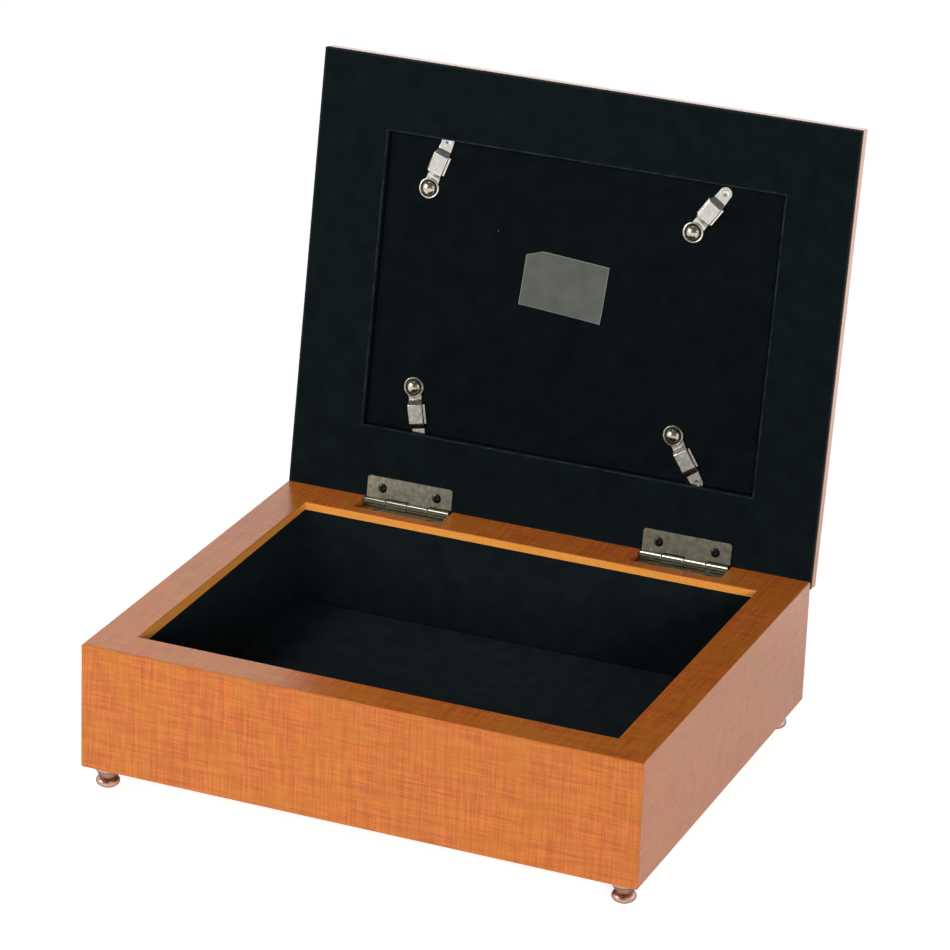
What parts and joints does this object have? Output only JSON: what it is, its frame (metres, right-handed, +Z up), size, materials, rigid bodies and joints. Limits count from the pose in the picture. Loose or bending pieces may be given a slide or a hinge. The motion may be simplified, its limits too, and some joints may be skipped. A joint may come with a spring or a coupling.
{
  "type": "keepsake box",
  "caption": "Hinged wooden keepsake box on turned metal feet, lined with black velvet, its lid a picture frame with a backing board held by turn clips. Modelled open.",
  "frame": {"origin": "on the plane that the feet stand on, under the middle of the body's footprint", "axes": "+X to the right as seen from the front, +Y to the back, where the hinges are, +Z up; the lid is stored open against its stop"},
  "size_m": [0.2426, 0.233, 0.2555],
  "materials": {
    "stained_wood": "orange-brown stain under satin lacquer",
    "bottom_board": "bare board",
    "black_velvet": "short pile",
    "foot_copper": "antique copper plate, polished high spots",
    "plain_steel": "plain",
    "hinge_brass": "antique plate, worn",
    "dark_hardboard": "dark brown stain",
    "window_glass": "clear",
    "picture_card": "matt, blank",
    "label_paper": "matt, bare",
    "clip_nickel": "bright nickel plate"
  },
  "bodies": {
    "base": {"base_hinge_screws": "hinge_brass", "bottom_panel": "bottom_board", "floor_liner": "black_velvet", "foot_front_left": "foot_copper", "foot_front_right": "foot_copper", "foot_rear_left": "foot_copper", "foot_rear_right": "foot_copper", "foot_studs": "plain_steel", "front_liner": "black_velvet", "front_wall": "stained_wood", "left_hinge_base_leaf": "hinge_brass", "left_hinge_pin": "plain_steel", "left_liner": "black_velvet", "left_wall": "stained_wood", "rear_liner": "black_velvet", "rear_wall": "stained_wood", "right_hinge_base_leaf": "hinge_brass", "right_hinge_pin": "plain_steel", "right_liner": "black_velvet", "right_wall": "stained_wood"},
    "lid": {"backing_board": "dark_hardboard", "board_label": "label_paper", "board_velvet": "black_velvet", "clip_rivets": "clip_nickel", "left_hinge_lid_leaf": "hinge_brass", "lid_back_panel": "dark_hardboard", "lid_front_rail": "stained_wood", "lid_hinge_screws": "hinge_brass", "lid_left_rail": "stained_wood", "lid_rear_rail": "stained_wood", "lid_right_rail": "stained_wood", "lid_velvet": "black_velvet", "picture_card": "picture_card", "right_hinge_lid_leaf": "hinge_brass", "window_glass": "window_glass"},
    "front_left_clip": {"clip_front_left": "clip_nickel"},
    "front_right_clip": {"clip_front_right": "clip_nickel"},
    "rear_left_clip": {"clip_rear_left": "clip_nickel"},
    "rear_right_clip": {"clip_rear_right": "clip_nickel"}
  },
  "joints": [
    {"name": "lid_hinge", "type": "hinge", "parent": "base", "child": "lid", "pos_m": [0, 0.09638, 0.0632], "axis": [1, 0, 0], "range_deg": [0, 98.5]},
    {"name": "front_left_clip_pivot", "type": "hinge", "parent": "lid", "child": "front_left_clip", "pos_m": [-0.06845, 0.12203, 0.2017], "axis": [0, -0.989, 0.1478], "continuous": true},
    {"name": "front_right_clip_pivot", "type": "hinge", "parent": "lid", "child": "front_right_clip", "pos_m": [0.05215, 0.12203, 0.2017], "axis": [0, -0.989, 0.1478], "continuous": true},
    {"name": "rear_left_clip_pivot", "type": "hinge", "parent": "lid", "child": "rear_left_clip", "pos_m": [-0.06705, 0.10907, 0.11497], "axis": [0, -0.989, 0.1478], "continuous": true},
    {"name": "rear_right_clip_pivot", "type": "hinge", "parent": "lid", "child": "rear_right_clip", "pos_m": [0.05285, 0.10902, 0.11467], "axis": [0, -0.989, 0.1478], "continuous": true}
  ]
}
